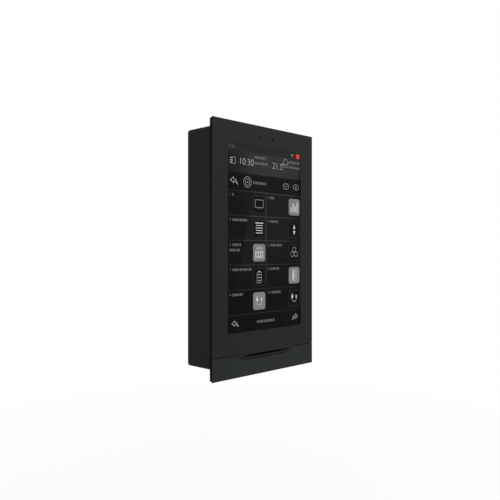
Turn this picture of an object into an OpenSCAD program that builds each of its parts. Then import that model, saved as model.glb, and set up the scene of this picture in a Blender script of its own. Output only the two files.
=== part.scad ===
// Flush wall touch panel: a front plate with a tall display and a chevron seam, in front of an in-wall box.
// X runs to the viewer's right, Y into the wall, Z up. The origin is the centre of the box's rear face.

/* [Front plate] */
// Width of the front plate
plate_w = 123; // [122:0.5:128]
// Height of the front plate
plate_h = 207; // [206:0.5:210]
// Thickness of the front plate
plate_t = 3.2; // [3:0.1:3.6]
// Bevel on the front edges of the plate
front_bevel = 0.1; // [0.1:0.05:0.4]
// How far the plate's edges draw in towards its back
edge_draft = 0.45; // [0.2:0.05:0.6]
// Thickness of the plate's lip along its top and bottom
edge_lip = 0.4; // [0.3:0.05:0.6]
// How far the plate steps in behind that lip
edge_step = 0.7; // [0.4:0.05:0.8]

/* [Display] */
// Width of the picture
screen_w = 90; // [86:0.5:91]
// Height of the picture
screen_h = 153.2; // [150:0.2:153.4]
// Plate's top edge to the top of the picture
screen_top = 17.5; // [17.2:0.1:17.7]
// How far the glass lies behind the plate's face
glass_recess = 0.4; // [0.3:0.05:0.6]

/* [Chevron seam] */
// Height of the lower cover at its sides
cover_h = 18.25; // [18:0.05:18.5]
// Width of the tongue where its slopes start
tongue_top = 73.8; // [72:0.2:75]
// Width of the tongue along its bottom edge
tongue_bottom = 51.2; // [50:0.2:54]
// How far the tongue reaches below the sides of the seam
tongue_drop = 4.35; // [4.2:0.05:4.5]
// Width of the open seam
seam_gap = 0.6; // [0.4:0.05:0.7]

/* [Sound slot and sensors] */
// Length of the slot's upper edge
slot_top = 56; // [52:0.5:58]
// Length of the slot's lower edge
slot_bottom = 49.6; // [46:0.2:51]
// Height of the slot
slot_h = 1.8; // [1.4:0.1:1.9]
// Depth of the slot's blind ends
slot_recess = 1.2; // [0.8:0.1:1.6]
// Length of the opening through the plate in the slot's middle
slot_open = 38.4; // [30:0.2:44]
// Distance between the two sensor ports
port_pitch = 14.9; // [12:0.1:18]
// Plate's top edge to the sensor ports
port_top = 9.5; // [9.4:0.05:9.6]
// Diameter of a sensor port
port_d = 2; // [1.6:0.1:2.2]

/* [In-wall box] */
// Outer width of the box
box_w = 110; // [109.6:0.1:112]
// Outer height of the box
box_h = 194.6; // [194.6:0.1:196.4]
// Depth of the box behind the plate
box_d = 35.5; // [35:0.5:45]
// Wall thickness of the box
box_wall = 2; // [1.6:0.1:2.1]
// Radius of the box's outer edges
box_round = 2.5; // [2:0.1:3]
// How far the box sits above the middle of the plate
box_rise = 1.5; // [1.4:0.05:1.6]
// Diameter of the conduit entries
entry_d = 20; // [16:0.5:25]
// Distance between the wall screws across the box
wall_pitch_x = 60; // [50:1:66]
// Distance between the wall screws up the box
wall_pitch_z = 120; // [100:1:130]
// Diameter of a wall screw hole
wall_hole_d = 4.5; // [4:0.1:5.5]

/* [Hidden] */
$fn = 48;
// Overlap of joined solids, and how far a cut runs on past a face
eps = 0.01;
past = 1;
plate_grey = "#2b2d2d";
box_black = "#242422";
board_green = "#1f4a33";
steel = "#a9adb0";
dark_plastic = "#1c1c1d";
rubber_black = "#161616";

// Depths, from the plate's face to the box's rear face at zero
glass_t = 0.5;
gasket_t = 0.25;
cell_glass_t = 0.7;
cell_sink = 0.5;
tray_d = 3.4;
frame_t = 2;
post_h = 4;
board_t = 1.6;
skirt_d = 10;
wiring_d = 10;
case_t = 1.6;
y_wall = -box_d;
y_front = y_wall - plate_t;
y_glass = y_front + glass_recess;
y_lcd = y_glass + glass_t + gasket_t;
y_lcd_back = y_wall + cell_sink;
y_tray_back = y_wall + tray_d;
y_frame_back = y_tray_back + frame_t;
y_board = y_frame_back + post_h;
y_board_back = y_board + board_t;
y_skirt = y_wall + skirt_d;
y_case = -box_wall - wiring_d;

// Heights on the plate
plate_top = plate_h / 2 - box_rise;
plate_bottom = -plate_h / 2 - box_rise;
screen_z = plate_top - screen_top - screen_h / 2;
seam_z = plate_bottom + cover_h;
tongue_z = seam_z - tongue_drop;
port_z = plate_top - port_top;

// Slot, set out from the tongue's bottom edge
slot_strip = 1.35;
slot_low = tongue_z + seam_gap / 2 + slot_strip;
slot_high = slot_low + slot_h;

// Display stack, set out from the picture
border_side = 3;
border_top = 2.8;
border_bottom = 6.2;
cell_ledge = 3;
cell_gap = 0.2;
gasket_w = 1.4;
tray_rim = 1.2;
dent_w = 70;
dent_h = 30;
dent_d = 0.6;
dent_round = 4;
dent_pitch = 48;
fit_gap = 0.3;
stack_w = screen_w + 2 * border_side;
stack_top = screen_z + screen_h / 2 + border_top;
stack_bottom = screen_z - screen_h / 2 - border_bottom;

// Outline of the unit that goes into the box, with notches for the box's pillars
unit_gap = 0.5;
unit_side_gap = 0.6;
skirt_t = 1.6;
notch_w = 7.6;
notch_h = 7.7;
unit_x = box_w / 2 - box_wall - unit_side_gap;
unit_top = box_h / 2 - box_wall - unit_gap;
unit_bottom = -unit_top;
notch_x = unit_x - notch_w;
notch_z = unit_bottom + notch_h;

// Fixing screws under the lower cover, with the pillars that they enter
pillar_r = 3.4;
pillar_x = unit_x - pillar_r;
pillar_z = unit_bottom + 3.5;
collar_d = 2;
pillar_top = y_wall + collar_d;
fixing_r = 1.5;
fixing_head_r = 2.9;
fixing_head_h = 1.6;
fixing_length = 18;

// Nibs that close the two ends of the seam behind its mouth
nib_w = 4;
nib_recess = 0.5;
nib_gap = 0.1;

// Lower cover, its pegs and the ledge that it hides
ledge_t = 1;
ledge_gap = 0.2;
cover_skin = 1.2;
cover_wall = 1.2;
y_ledge = y_wall - ledge_t;
peg_r = 0.9;
peg_gap = 0.1;
peg_end_gap = 0.5;
peg_length = 6;
peg_boss_d = 4.5;
y_socket_end = y_ledge + peg_length;
inner_peg_x = 12;
inner_peg_z = unit_bottom + 1.5;
inner_boss_rise = 1.5;
outer_peg_x = 33;
outer_peg_z = unit_bottom + 3;

// Service buttons and their switches
button_x = 39;
button_z = unit_bottom + 5.3;
button_r = 1.3;
button_gap = 0.25;
button_flange_r = 2;
button_flange_t = 0.8;
button_lead = 0.6;
switch_w = 5;
switch_h = 3.4;
well_r = 1.6;
well_d = 1.5;
y_switch = y_board - switch_h;

// Loudspeaker behind the slot
speaker_w = 58;
speaker_h = 13.6;
speaker_d = 6;
speaker_round = 2;
speaker_gap = 1;
speaker_lift = 3.2;
basket_d = 4.4;
basket_rim_x = 2;
basket_rim_z = 1.5;
basket_open_d = 2.4;
magnet_w = 34;
magnet_h = 9.6;
magnet_round = 1.5;
cone_inset = 0.9;
cone_t = 0.5;
cone_gap = 0.2;
ridge_h = 0.6;
ridge_w = 1;
ridge_inset = 1.5;
mesh_t = 0.3;
speaker_foam_t = 1.8;
foam_wall = 1.2;
speaker_z = unit_bottom + speaker_lift + speaker_h / 2;
y_mesh_back = y_wall + mesh_t;
y_speaker = y_mesh_back + speaker_foam_t;

// Sensor strip behind the two ports, with what reaches above and below their middles
strip_w = 26;
strip_h = 4.8;
strip_t = 0.8;
strip_gap = 1;
seal_rise = 1;
seal_drop = 1.2;
sensor_rise = 0.9;
sensor_drop = 1;
sensor_t = 0.9;
microphone_w = 3.4;
sound_hole_r = 0.3;
sound_hole_d = 0.4;
boot_w = 4;
boot_bore_r = 0.6;
light_sensor_w = 2;
pipe_foot_w = 3;
pipe_gap = 0.05;
pipe_recess = 1.2;
y_strip = y_wall + 2.3;
y_sensor = y_strip - sensor_t;

// Screws inside the unit; the last four values are shares of a head's radius or height
thread_play = 0.05;
screw_play = 0.2;
head_play = 0.3;
sink_play = 0.1;
cross_span = 1.1;
cross_slot = 0.28;
head_rim = 0.55;
head_crown = 0.7;

// Frame screws and the bezel's bosses for them
frame_screw_r = 0.95;
frame_head_r = 1.6;
frame_head_h = 1.2;
frame_screw_length = 4.5;
frame_boss_r = 1.75;
top_boss_x = 40;
top_boss_z = unit_top - skirt_t - 1.65;
low_boss_x = 45.5;
low_boss_z = stack_bottom - tray_rim - 2.9;
low_boss_r = 2.2;

// Case screws, the mid frame's posts and the rear cover's tubes for them
case_screw_r = 1.2;
case_head_r = 2.4;
case_head_h = 1.8;
case_screw_length = 8;
case_x = 44;
case_z_top = 52;
case_z_low = -62;
post_r = 2.75;
tube_r = 4;
tube_floor = 2.2;

frame_screw_spots = [for (s = [-1, 1]) each [[s * top_boss_x, top_boss_z], [s * low_boss_x, low_boss_z]]];
case_screw_spots = [for (s = [-1, 1]) for (z = [case_z_top, case_z_low]) [s * case_x, z]];
pillar_spots = [for (s = [-1, 1]) [s * pillar_x, pillar_z]];
peg_spots = [for (s = [-1, 1]) each [[s * inner_peg_x, inner_peg_z], [s * outer_peg_x, outer_peg_z]]];

// Mid frame
frame_gap = 0.4;
frame_windows = [-32, 26];
frame_window_w = 64;
frame_window_h = 44;
frame_window_round = 4;
frame_rib_t = 1.4;
frame_rib_h = 1.5;
frame_rib_gap = 6;

// Rear cover: its lip inside the skirt, and its vents
lip_t = 0.9;
lip_gap = 0.15;
lip_d = 1.5;
lip_root = 1;
vent_x = 21;
vent_w = 30;
vent_h = 2.4;
vent_heights = [60 : 6 : 84];

// Box details
box_inner_round = 1;
entry_z = 30;
knockout_r = 8.5;
knockout_ring = 1;
knockout_groove = 0.8;
floor_knockout_x = 34;
wall_knockout_x = 28;
lug_x = 30;
lug_w = 8;
lug_d = 2;
lug_rise = 1.3;
lug_play_x = 0.6;
lug_play_y = 0.5;
lug_y = y_wall + 5.5;
rib_t = 2;

// Board and the display's ribbon
board_gap = 1.4;
board_rise = 8;
ribbon_w = 24;
ribbon_x = -8;
ribbon_t = 0.2;
ribbon_gap = 0.5;
ribbon_z = stack_bottom - tray_rim - 0.3;
y_ribbon = y_board - 1.2;
socket_low = stack_bottom + 1.4;
socket_h = 4;
socket_d = 2.2;
socket_cheek = 2;
socket_grip = 1;
socket_play = 0.1;

// Chips and cans on the board: width, height and depth of each
chip_round = 0.3;
processor_spot = [-18, -8];
processor_size = [18, 18, 0.9];
lid_size = [13, 13, 0.7];
memory_spots = [[4, -14], [4, -2]];
memory_size = [12, 9, 1];
can_spot = [-20, 32];
can_size = [24, 18, 2.6];
can_t = 0.4;
can_hole_r = 0.9;
can_hole_pitch = 8;
capacitor_spots = [[32, -30], [32, -21], [32, -12]];
capacitor_base = 6.6;
capacitor_base_t = 1;
capacitor_r = 3.15;
capacitor_h = 7.7;

// Coin cell and its holder
coin_spot = [22, 24];
coin_r = 10;
coin_t = 3.2;
coin_step = 1.2;
coin_step_t = 0.5;
coin_play = 0.2;
holder_w = 23;
holder_h = 16;
holder_d = 4.4;
holder_round = 2;
holder_floor = 0.8;

// Terminals: width, depth and height of each
terminal_z = -46;
terminal_gap = 0.4;
bus_x = -20;
bus_size = [12, 12.6, 10];
pole_gap = 0.6;
pole_gap_d = 3;
wire_x = [-4.4, -1.9, 1.9, 4.4];
wire_z = 2.4;
wire_r = 0.7;
wire_d = 6;
power_x = 18;
power_size = [11, 12.6, 9];
clamp_x = 2.7;
clamp_r = 2;
clamp_d = 4;
mouth_w = 3;
mouth_d = 2.5;
mouth_inset = 9;

// Extrudes a front-view outline from depth y0 to depth y1.
module slab(y0, y1) {
  translate([0, y1, 0]) rotate([90, 0, 0]) linear_extrude(y1 - y0) children();
}

// A round bar along Y at a place on the front view.
module rod(spot, r, y0, y1) {
  translate([spot[0], y1, spot[1]]) rotate([90, 0, 0]) cylinder(r = r, h = y1 - y0);
}

// A cone along Y, of radius r0 at depth y0 and r1 at depth y1.
module taper(spot, r0, r1, y0, y1) {
  translate([spot[0], y1, spot[1]]) rotate([90, 0, 0]) cylinder(r1 = r1, r2 = r0, h = y1 - y0);
}

// A front-view rectangle between two heights.
module panel(w, z0, z1, x = 0) {
  translate([x - w / 2, z0]) square([w, z1 - z0]);
}

// A rectangle with round corners.
module round_rect(w, h, r) {
  square([w - 2 * r, h], center = true);
  square([w, h - 2 * r], center = true);
  for (x = [-1, 1], z = [-1, 1]) translate([x * (w / 2 - r), z * (h / 2 - r)]) circle(r);
}

// A rectangle with half-round ends.
module racetrack(w, h) {
  square([w - h, h], center = true);
  for (x = [-1, 1]) translate([x * (w - h) / 2, 0]) circle(h / 2);
}

// The seam's line across the plate, moved up by rise, between two ends at +half and -half.
function seam_line(rise, half) = [
  [-half, seam_z + rise], [-tongue_top / 2, seam_z + rise], [-tongue_bottom / 2, tongue_z + rise],
  [tongue_bottom / 2, tongue_z + rise], [tongue_top / 2, seam_z + rise], [half, seam_z + rise]];

// Everything on the plate above the seam.
module upper_outline() {
  polygon(concat(seam_line(seam_gap / 2, plate_w / 2),
                 [[plate_w / 2, plate_top], [-plate_w / 2, plate_top]]));
}

// Everything on the plate below the seam, drawn in by inset, its top moved up by rise and its foot by lift.
module lower_outline(inset, rise, lift = 0) {
  half = plate_w / 2 - inset;
  foot = plate_bottom + inset + lift;
  polygon(concat(seam_line(rise, half), [[half, foot], [-half, foot]]));
}

// Outline of the unit inside the box, with its lower corners cut away for the pillars.
module unit_outline(inset) {
  x = unit_x - inset;
  nx = notch_x - inset;
  nz = notch_z + inset;
  low = unit_bottom + inset;
  high = unit_top - inset;
  polygon([[-x, high], [x, high], [x, nz], [nx, nz], [nx, low], [-nx, low], [-nx, nz], [-x, nz]]);
}

// A wall that follows the unit's outline.
module unit_wall(y0, y1, inset, wall) {
  slab(y0, y1) difference() {
    unit_outline(inset);
    unit_outline(inset + wall);
  }
}

// What lies outside one of the plate's edges: past a small front bevel and a draft towards the back, and past
// a step behind the lip.
module outside_edge(step) {
  slope = edge_draft / (plate_t - front_bevel);
  y_step = y_front + edge_lip;
  y_end = y_wall + past;
  linear_extrude(2 * plate_h, center = true) {
    polygon([[-front_bevel - past, y_front - past], [0, y_front + front_bevel],
             [-edge_draft - slope * past, y_end], [past, y_end], [past, y_front - past]]);
    polygon([[-step, y_step], [-step - slope * (y_end - y_step), y_end], [past, y_end], [past, y_step]]);
  }
}

// The cut round the whole plate: for each edge its place across and up the plate, its turn and its step.
module plate_edges() {
  for (edge = [[plate_w / 2, 0, 0, 0], [-plate_w / 2, 0, 180, 0],
               [0, plate_h / 2, -90, edge_step], [0, -plate_h / 2, 90, edge_step]])
    translate([edge[0], 0, edge[1] - box_rise]) rotate([0, edge[2], 0]) outside_edge(edge[3]);
}

// The box's solid block: square at the front, round along every other edge.
module box_block() {
  r = box_round;
  slab(y_wall, -r) round_rect(box_w, box_h, r);
  slab(-r - eps, 0) square([box_w - 2 * r, box_h - 2 * r], center = true);
  edge_x = box_w / 2 - r;
  edge_z = box_h / 2 - r;
  for (x = [-edge_x, edge_x]) translate([x, -r, 0]) cylinder(r = r, h = 2 * edge_z, center = true);
  for (z = [-edge_z, edge_z])
    translate([0, -r, z]) rotate([0, 90, 0]) cylinder(r = r, h = 2 * edge_x, center = true);
  for (x = [-edge_x, edge_x], z = [-edge_z, edge_z]) translate([x, -r, z]) sphere(r);
}

// A ring groove that marks a conduit knock-out.
module knockout() {
  difference() {
    cylinder(r = knockout_r, h = knockout_groove);
    translate([0, 0, -eps]) cylinder(r = knockout_r - knockout_ring, h = knockout_groove + 2 * eps);
  }
}

// In-wall box: moulded shell with conduit entries, knock-outs, wall screw holes and two screw pillars.
module wall_box() {
  inner_x = box_w / 2 - box_wall;
  inner_z = box_h / 2 - box_wall;
  color(box_black) difference() {
    union() {
      difference() {
        box_block();
        slab(y_wall - past, -box_wall) round_rect(2 * inner_x, 2 * inner_z, box_inner_round);
      }
      for (s = [-1, 1]) {
        rod([s * pillar_x, pillar_z], pillar_r, pillar_top, -box_wall + eps);
        slab(pillar_top, -box_wall + eps) panel(rib_t, -inner_z - eps, pillar_z, s * pillar_x);
        slab(pillar_top, -box_wall + eps) translate([s * (inner_x + pillar_x) / 2, pillar_z])
          square([inner_x - pillar_x + eps, rib_t], center = true);
        translate([s * lug_x - lug_w / 2, lug_y, inner_z]) rotate([90, 0, 90]) linear_extrude(lug_w)
          polygon([[0, eps], [0, -lug_rise], [0.6 * lug_d, -lug_rise], [lug_d, -lug_rise / 3], [lug_d, eps]]);
      }
    }
    for (spot = pillar_spots) rod(spot, fixing_r + thread_play, pillar_top - eps, pillar_top + fixing_length);
    for (x = [-1, 1], z = [-1, 1])
      rod([x * wall_pitch_x / 2, z * wall_pitch_z / 2], wall_hole_d / 2, -box_wall - past, past);
    for (z = [-1, 1]) rod([0, z * entry_z], entry_d / 2, -box_wall - past, past);
    for (s = [-1, 1]) {
      translate([s * floor_knockout_x, eps, 0]) rotate([90, 0, 0]) knockout();
      translate([s * wall_knockout_x, y_wall / 2, box_h / 2 - knockout_groove + eps]) knockout();
      translate([s * wall_knockout_x, y_wall / 2, -box_h / 2 - eps]) knockout();
    }
  }
}

// Sound slot: a recess with slanted ends, wider along its top, that is open only in its middle.
module sound_slot() {
  slab(y_front - past, y_front + slot_recess)
    polygon([[-slot_top / 2, slot_high], [slot_top / 2, slot_high],
             [slot_bottom / 2, slot_low], [-slot_bottom / 2, slot_low]]);
  slab(y_front, y_wall + past) panel(slot_open, slot_low, slot_high);
}

// Front bezel: the plate above the seam with a nib at each end, the ledge behind the lower cover, the skirt
// that enters the box.
module front_bezel() {
  ledge_inset = cover_wall + fit_gap;
  color(plate_grey) difference() {
    union() {
      slab(y_front, y_wall) upper_outline();
      slab(y_ledge, y_wall) lower_outline(ledge_inset, seam_gap, edge_step);
      unit_wall(y_wall - eps, y_skirt, 0, skirt_t);
      for (s = [-1, 1]) {
        rod([s * top_boss_x, top_boss_z], frame_boss_r, y_wall - eps, y_tray_back);
        rod([s * low_boss_x, low_boss_z], low_boss_r, y_wall - eps, y_tray_back);
        rod([s * pillar_x, pillar_z], pillar_r, y_wall - eps, pillar_top);
        rod([s * outer_peg_x, outer_peg_z], peg_boss_d / 2, y_wall - eps, y_socket_end);
        slab(y_wall - eps, y_socket_end)
          panel(peg_boss_d, unit_bottom + eps, inner_peg_z + inner_boss_rise, s * inner_peg_x);
        slab(y_front + nib_recess, y_wall)
          panel(nib_w, seam_z - seam_gap / 2 + nib_gap, seam_z + seam_gap / 2 + eps,
                s * (plate_w - nib_w) / 2);
      }
    }
    plate_edges();
    slab(y_front - past, y_wall + past) panel(screen_w, screen_z - screen_h / 2, screen_z + screen_h / 2);
    slab(y_glass, y_wall + past)
      panel(stack_w + 2 * fit_gap, stack_bottom - fit_gap, stack_top + fit_gap);
    sound_slot();
    for (s = [-1, 1]) {
      rod([s * port_pitch / 2, port_z], port_d / 2, y_front - past, y_wall + past);
      rod([s * button_x, button_z], button_r + button_gap, y_ledge - past, y_wall + past);
      translate([s * lug_x, lug_y + lug_d / 2, unit_top])
        cube([lug_w + 2 * lug_play_x, lug_d + 2 * lug_play_y, 4 * skirt_t], center = true);
    }
    for (spot = pillar_spots) {
      taper(spot, fixing_head_r + sink_play, fixing_r + screw_play, y_ledge - eps, y_ledge + fixing_head_h);
      rod(spot, fixing_r + screw_play, y_ledge - past, pillar_top + past);
    }
    for (spot = peg_spots) rod(spot, peg_r + peg_gap, y_ledge - past, y_socket_end);
    for (spot = frame_screw_spots)
      rod(spot, frame_screw_r + thread_play, y_tray_back - frame_screw_length, y_tray_back + past);
    slab(y_wall, y_skirt + past) panel(strip_w + 2 * strip_gap, unit_top - 2 * skirt_t, unit_top + past);
  }
}

// Lower cover: a shallow shell with the chevron's notch in its top edge and four push-in pegs.
module lower_cover() {
  y_inside = y_front + cover_skin;
  color(plate_grey) {
    difference() {
      slab(y_front, y_wall) lower_outline(0, -seam_gap / 2);
      plate_edges();
      slab(y_inside, y_wall + past) lower_outline(cover_wall, -seam_gap / 2 - cover_wall, edge_step);
      slab(y_ledge - ledge_gap, y_wall + past) lower_outline(cover_wall, seam_gap, edge_step);
    }
    for (spot = peg_spots) rod(spot, peg_r, y_inside - eps, y_socket_end - peg_end_gap);
  }
}

// Touch glass that fills the plate's window from behind.
module touch_glass() {
  color("#0c0d0e", 0.5) slab(y_glass, y_glass + glass_t) panel(stack_w, stack_bottom, stack_top);
}

// Foam frame that keeps dust out between the glass and the display.
module display_gasket() {
  color(rubber_black) slab(y_glass + glass_t, y_lcd) difference() {
    panel(stack_w, stack_bottom, stack_top);
    panel(stack_w - 2 * gasket_w, stack_bottom + gasket_w, stack_top - gasket_w);
  }
}

// Liquid crystal cell: the rear glass runs on below the front one, as a ledge for the ribbon.
module lcd_panel() {
  w = stack_w - 2 * cell_gap;
  low = stack_bottom + cell_gap;
  high = stack_top - cell_gap;
  color("#111213") {
    slab(y_lcd, y_lcd + cell_glass_t) panel(w, low + cell_ledge, high);
    slab(y_lcd + cell_glass_t - eps, y_lcd_back) panel(w, low, high);
  }
}

// Pressed tray with the backlight, which holds the cell from behind.
module backlight_tray() {
  color(steel) difference() {
    slab(y_wall, y_tray_back) panel(stack_w + 2 * tray_rim, stack_bottom - tray_rim, stack_top + tray_rim);
    slab(y_wall - past, y_lcd_back) panel(stack_w, stack_bottom, stack_top);
    slab(y_wall - past, y_lcd_back)
      panel(ribbon_w + 2 * ribbon_gap, stack_bottom - tray_rim - past, stack_bottom + past, ribbon_x);
    for (z = [-1, 0, 1]) slab(y_tray_back - dent_d, y_tray_back + past)
      translate([0, screen_z + z * dent_pitch]) round_rect(dent_w, dent_h, dent_round);
  }
}

// Flat flexible cable from the cell's lower edge, under the tray and up into its socket on the board.
module display_ribbon() {
  y_cell = y_wall + ribbon_t / 2;
  z_cell = stack_bottom + cell_gap;
  z_end = socket_low + socket_grip;
  color("#b5702a") translate([ribbon_x - ribbon_w / 2, 0, 0]) rotate([90, 0, 90]) linear_extrude(ribbon_w)
    polygon([[y_cell, z_cell], [y_cell, ribbon_z - ribbon_t], [y_ribbon + ribbon_t, ribbon_z - ribbon_t],
             [y_ribbon + ribbon_t, z_end], [y_ribbon, z_end], [y_ribbon, ribbon_z],
             [y_cell + ribbon_t, ribbon_z], [y_cell + ribbon_t, z_cell]]);
}

// Socket on the board's front face that grips the ribbon's end from below.
module ribbon_connector() {
  color("#d8d2c2") difference() {
    slab(y_board - socket_d, y_board)
      panel(ribbon_w + 2 * socket_cheek, socket_low, socket_low + socket_h, ribbon_x);
    slab(y_ribbon - socket_play, y_ribbon + ribbon_t + socket_play)
      panel(ribbon_w + 4 * socket_play, socket_low - past, socket_low + socket_grip + 2 * socket_play,
            ribbon_x);
  }
}

// Moulded frame that presses the display home and carries the board on four posts.
module mid_frame() {
  color(dark_plastic) difference() {
    union() {
      slab(y_tray_back, y_frame_back) difference() {
        unit_outline(skirt_t + frame_gap);
        panel(2 * unit_x, unit_bottom, low_boss_z - low_boss_r - frame_gap);
        panel(speaker_w + 2 * speaker_gap, unit_bottom, ribbon_z + ribbon_gap);
        for (z = frame_windows)
          translate([0, z]) round_rect(frame_window_w, frame_window_h, frame_window_round);
      }
      for (spot = case_screw_spots) rod(spot, post_r, y_frame_back - eps, y_board);
      for (x = [-1, 1])
        slab(y_frame_back - eps, y_frame_back + frame_rib_h)
          panel(frame_rib_t, case_z_low + frame_rib_gap, case_z_top - frame_rib_gap, x * case_x);
    }
    for (spot = frame_screw_spots)
      rod(spot, frame_screw_r + screw_play, y_tray_back - past, y_frame_back + past);
    for (spot = case_screw_spots) rod(spot, case_screw_r + thread_play, y_tray_back - past, y_board + past);
  }
}

// A cross recess, centred on a screw's axis at depth y, for a head of the given radius and height.
module cross_recess(spot, y, head_r, head_h) {
  for (turn = [0, 90]) translate([spot[0], y, spot[1]]) rotate([0, turn, 0])
    cube([cross_span * head_r, head_h, cross_slot * head_r], center = true);
}

// A pan-head screw with a cross recess: head on its seat at depth seat, shank towards the front.
module pan_screw(spot, r, head_r, head_h, length, seat) {
  difference() {
    union() {
      rod(spot, r, seat - length, seat + eps);
      rod(spot, head_r, seat, seat + head_rim * head_h);
      taper(spot, head_r, head_crown * head_r, seat + head_rim * head_h - eps, seat + head_h);
    }
    cross_recess(spot, seat + head_h, head_r, head_h);
  }
}

// Four screws that hold the mid frame to the bezel.
module frame_screws() {
  color(steel) for (spot = frame_screw_spots)
    pan_screw(spot, frame_screw_r, frame_head_r, frame_head_h, frame_screw_length, y_frame_back);
}

// Four screws that clamp the rear cover and the board to the mid frame.
module case_screws() {
  color(steel) for (spot = case_screw_spots)
    pan_screw(spot, case_screw_r, case_head_r, case_head_h, case_screw_length, y_board_back + tube_floor);
}

// Two countersunk screws, under the lower cover, that hold the unit in the box.
module fixing_screws() {
  color(steel) for (spot = pillar_spots) difference() {
    union() {
      taper(spot, fixing_head_r, fixing_r, y_ledge, y_ledge + fixing_head_h);
      rod(spot, fixing_r, y_ledge + fixing_head_h - eps, y_ledge + fixing_length);
    }
    cross_recess(spot, y_ledge, fixing_head_r, fixing_head_h);
  }
}

// Main board, notched like the unit, with holes for the four case screws.
module main_board() {
  color(board_green) difference() {
    slab(y_board, y_board_back) difference() {
      unit_outline(skirt_t + board_gap);
      panel(2 * unit_x, case_z_top + board_rise, unit_top + past);
    }
    for (spot = case_screw_spots) rod(spot, case_screw_r + screw_play, y_board - past, y_board_back + past);
  }
}

// A flat package on the board's rear face, drawn in by inset, lifted off the board by lift.
module chip(spot, size, inset = 0, lift = 0) {
  slab(y_board_back + lift, y_board_back + lift + size[2])
    translate(spot) round_rect(size[0] - 2 * inset, size[1] - 2 * inset, chip_round);
}

// Main processor: substrate with its metal lid.
module processor() {
  color("#3b3d40") {
    chip(processor_spot, processor_size);
    chip(processor_spot, lid_size, lift = processor_size[2] - eps);
  }
}

// Two memory packages beside the processor.
module memory_chips() {
  color("#232425") for (spot = memory_spots) chip(spot, memory_size);
}

// Pressed can over the radio module, with vent holes.
module shield_can() {
  color(steel) difference() {
    chip(can_spot, can_size);
    chip(can_spot, can_size, inset = can_t, lift = -can_t);
    for (x = [-1, 0, 1], z = [-0.5, 0.5])
      rod(can_spot + can_hole_pitch * [x, z], can_hole_r, y_board_back + past,
          y_board_back + can_size[2] + past);
  }
}

// Three electrolytic capacitors of the power supply.
module capacitors() {
  color("#c3c6c8") for (spot = capacitor_spots) {
    chip(spot, [capacitor_base, capacitor_base, capacitor_base_t]);
    rod(spot, capacitor_r, y_board_back + capacitor_base_t - eps, y_board_back + capacitor_h);
  }
}

// Holder for the clock's coin cell, open on one side.
module coin_cell_holder() {
  color("#e4e1d8") difference() {
    slab(y_board_back, y_board_back + holder_d)
      translate(coin_spot) round_rect(holder_w, holder_h, holder_round);
    rod(coin_spot, coin_r + coin_play, y_board_back + holder_floor, y_board_back + holder_d + past);
  }
}

// Coin cell that keeps the clock running.
module coin_cell() {
  y = y_board_back + holder_floor;
  color("#d2d4d6") {
    rod(coin_spot, coin_r - coin_step, y, y + coin_step_t);
    rod(coin_spot, coin_r, y + coin_step_t - eps, y + coin_t);
  }
}

// Two-pole push-in terminal for the bus line, four wire ports to a pole.
module bus_terminal() {
  half = bus_size[2] / 2;
  y_mouth = y_board_back + bus_size[1];
  color("#7c1e1c") difference() {
    slab(y_board_back, y_mouth) panel(bus_size[0], terminal_z - half, terminal_z + half, bus_x);
    slab(y_mouth - pole_gap_d, y_mouth + past)
      panel(pole_gap, terminal_z - half - past, terminal_z + half + past, bus_x);
    for (x = wire_x, z = [-wire_z, wire_z])
      rod([bus_x + x, terminal_z + z], wire_r, y_mouth - wire_d, y_mouth + past);
  }
}

// Two-pole screw terminal for the supply.
module power_terminal() {
  half = power_size[2] / 2;
  y_mouth = y_board_back + power_size[1];
  color("#2f5d3d") difference() {
    slab(y_board_back, y_mouth) panel(power_size[0], terminal_z - half, terminal_z + half, power_x);
    for (x = [-clamp_x, clamp_x]) {
      rod([power_x + x, terminal_z], clamp_r, y_mouth - clamp_d, y_mouth + past);
      translate([power_x + x, y_mouth - mouth_inset, terminal_z - half])
        cube([mouth_w, mouth_w, 2 * mouth_d], center = true);
    }
  }
}

// Tactile switch on the board's front face, with the well that its button enters.
module tact_switch(x) {
  color("#303132") difference() {
    slab(y_switch, y_board) panel(switch_w, button_z - switch_w / 2, button_z + switch_w / 2, x);
    rod([x, button_z], well_r, y_switch - past, y_switch + well_d);
  }
}

// Switch that restarts the panel.
module reset_switch() tact_switch(-button_x);

// Switch that puts the panel into programming mode.
module programming_switch() tact_switch(button_x);

// A push rod from the ledge to its switch, kept in by a flange behind the ledge.
module push_rod(x) {
  y_flange = y_wall + button_gap;
  rod([x, button_z], button_r, y_ledge + button_gap, y_switch + button_lead);
  rod([x, button_z], button_flange_r, y_flange, y_flange + button_flange_t);
}

// Reset button under the lower cover.
module reset_button() color("#b8bcbd") push_rod(-button_x);

// Programming button under the lower cover.
module programming_button() color("#a33126") push_rod(button_x);

// The basket's opening, drawn in by inset.
module basket_opening(inset) {
  translate([0, speaker_z])
    racetrack(speaker_w - 2 * (basket_rim_x + inset), speaker_h - 2 * (basket_rim_z + inset));
}

// Loudspeaker basket: racetrack opening in front and a magnet at the back.
module speaker_frame() {
  color("#2a2a2b") difference() {
    union() {
      slab(y_speaker, y_speaker + basket_d)
        translate([0, speaker_z]) round_rect(speaker_w, speaker_h, speaker_round);
      slab(y_speaker + basket_d - eps, y_speaker + speaker_d)
        translate([0, speaker_z]) round_rect(magnet_w, magnet_h, magnet_round);
    }
    slab(y_speaker - past, y_speaker + basket_open_d) basket_opening(0);
  }
}

// Racetrack diaphragm with its raised ridge, inside the basket.
module speaker_cone() {
  y = y_speaker + cone_inset;
  color("#3d3e40") {
    slab(y, y + cone_t) basket_opening(cone_gap);
    slab(y - ridge_h, y + eps) difference() {
      basket_opening(ridge_inset);
      basket_opening(ridge_inset + ridge_w);
    }
  }
}

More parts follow.
